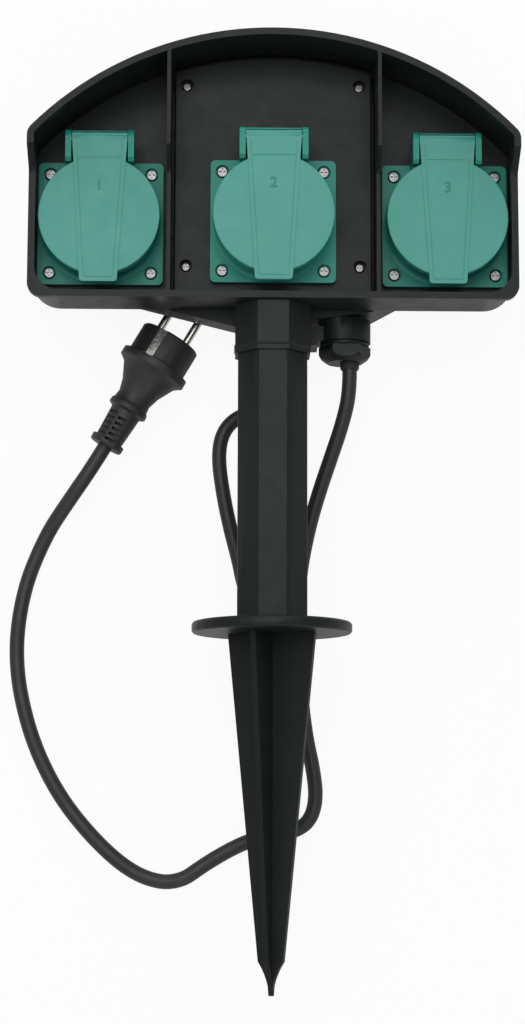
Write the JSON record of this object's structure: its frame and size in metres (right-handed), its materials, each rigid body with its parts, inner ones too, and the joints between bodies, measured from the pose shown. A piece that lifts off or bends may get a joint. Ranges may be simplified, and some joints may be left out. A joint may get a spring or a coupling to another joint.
{
  "type": "garden socket spike",
  "caption": "Garden spike outlet: arched black hood over sprung-lid green sockets, octagonal post, ground collar, finned spike, short lead with plug.",
  "frame": {"origin": "under the middle of the object's length and width, on the surface that it lies on", "axes": "+X to the right and +Y from the spike's tip to the hood, seen from the front; +Z out of the sockets"},
  "size_m": [0.2992, 0.5554, 0.1005],
  "materials": {
    "black_plastic": "moulded black plastic, fine satin texture",
    "green_plastic": "moulded green plastic, satin",
    "insert_plastic": "moulded black insert plastic",
    "seal_rubber": "soft black seal",
    "cord_rubber": "black rubber sheath",
    "plug_rubber": "black rubber plug",
    "screw_steel": "zinc-plated steel",
    "spring_steel": "spring steel",
    "contact_brass": "brass",
    "plated_metal": "nickel-plated brass",
    "wire_brown": "brown wire insulation",
    "wire_blue": "blue wire insulation",
    "wire_green_yellow": "green and yellow wire insulation"
  },
  "bodies": {
    "root": {"front_frame": "black_plastic", "centre_panel": "black_plastic", "panel_screws": "screw_steel", "rear_case": "black_plastic", "case_seal": "seal_rubber", "case_screws": "screw_steel", "left_socket_base": "green_plastic", "left_socket_insert": "insert_plastic", "left_contact_sleeves": "contact_brass", "left_earth_clip": "plated_metal", "left_flange_seal": "seal_rubber", "left_socket_screws": "screw_steel", "left_hinge_pin": "spring_steel", "left_hinge_spring": "spring_steel", "middle_socket_base": "green_plastic", "middle_socket_insert": "insert_plastic", "middle_contact_sleeves": "contact_brass", "middle_earth_clip": "plated_metal", "middle_flange_seal": "seal_rubber", "middle_socket_screws": "screw_steel", "middle_hinge_pin": "spring_steel", "middle_hinge_spring": "spring_steel", "right_socket_base": "green_plastic", "right_socket_insert": "insert_plastic", "right_contact_sleeves": "contact_brass", "right_earth_clip": "plated_metal", "right_flange_seal": "seal_rubber", "right_socket_screws": "screw_steel", "right_hinge_pin": "spring_steel", "right_hinge_spring": "spring_steel", "post_tube": "black_plastic", "post_screw": "screw_steel", "ground_collar": "black_plastic", "ground_spike": "black_plastic", "gland_body": "black_plastic", "gland_seal": "seal_rubber", "gland_nut": "black_plastic", "cord_clamp": "insert_plastic", "clamp_screws": "screw_steel", "terminal_block": "insert_plastic", "wire_live": "wire_brown", "wire_earth": "wire_green_yellow", "wire_neutral": "wire_blue", "lead_tail": "cord_rubber", "supply_cord": "cord_rubber", "plug_body": "plug_rubber", "plug_pins": "plated_metal", "plug_earth_clips": "plated_metal"},
    "left_lid_body": {"left_lid": "green_plastic", "left_lid_seal": "seal_rubber"},
    "middle_lid_body": {"middle_lid": "green_plastic", "middle_lid_seal": "seal_rubber"},
    "right_lid_body": {"right_lid": "green_plastic", "right_lid_seal": "seal_rubber"}
  },
  "joints": [
    {"name": "left_lid_hinge", "type": "hinge", "parent": "root", "child": "left_lid_body", "pos_m": [-0.102, 0.21705, 0.0723], "axis": [-1, 0, 0], "range_deg": [0, 95], "stiffness_Nm_per_rad": 0.02, "springref_deg": -45.84},
    {"name": "middle_lid_hinge", "type": "hinge", "parent": "root", "child": "middle_lid_body", "pos_m": [0, 0.21705, 0.0803], "axis": [-1, 0, 0], "range_deg": [0, 95], "stiffness_Nm_per_rad": 0.02, "springref_deg": -45.84},
    {"name": "right_lid_hinge", "type": "hinge", "parent": "root", "child": "right_lid_body", "pos_m": [0.102, 0.21705, 0.0723], "axis": [-1, 0, 0], "range_deg": [0, 95], "stiffness_Nm_per_rad": 0.02, "springref_deg": -45.84}
  ]
}
